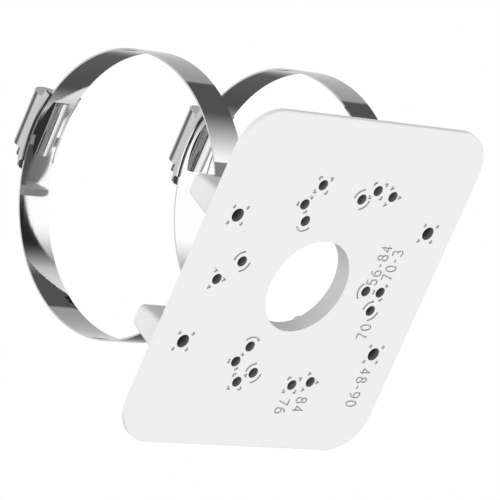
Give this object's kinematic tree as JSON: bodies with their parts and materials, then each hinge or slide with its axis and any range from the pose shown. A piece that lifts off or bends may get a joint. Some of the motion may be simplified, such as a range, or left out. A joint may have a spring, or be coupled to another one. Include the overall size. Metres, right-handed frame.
{
  "type": "camera pole mount bracket",
  "caption": "White cast plate with hole patterns and a central bore in front, and slotted legs behind that carry worm-drive band clamps for a pole.",
  "frame": {"origin": "middle of the central bore in the plate's front face", "axes": "+Z along the pole, upwards; -Y out of the plate's front face; +X across"},
  "size_m": [0.126, 0.1183, 0.114],
  "materials": {
    "white_casting": "white powder coat, fine satin",
    "band_steel": "bright rolled stainless strip",
    "housing_steel": "stamped stainless, satin",
    "screw_steel": "turned stainless"
  },
  "bodies": {
    "root": {"mounting_plate": "white_casting", "lower_band": "band_steel", "upper_band": "band_steel", "lower_housing": "housing_steel", "upper_housing": "housing_steel", "lower_saddle": "housing_steel", "upper_saddle": "housing_steel"},
    "lower_screw": {"lower_worm_screw": "screw_steel"},
    "upper_screw": {"upper_worm_screw": "screw_steel"}
  },
  "joints": [
    {"name": "lower_screw_turn", "type": "hinge", "parent": "root", "child": "lower_screw", "pos_m": [0.012, 0.1117, -0.0376], "axis": [1, 0, 0], "continuous": true},
    {"name": "upper_screw_turn", "type": "hinge", "parent": "root", "child": "upper_screw", "pos_m": [0.012, 0.1117, 0.03585], "axis": [1, 0, 0], "continuous": true}
  ]
}
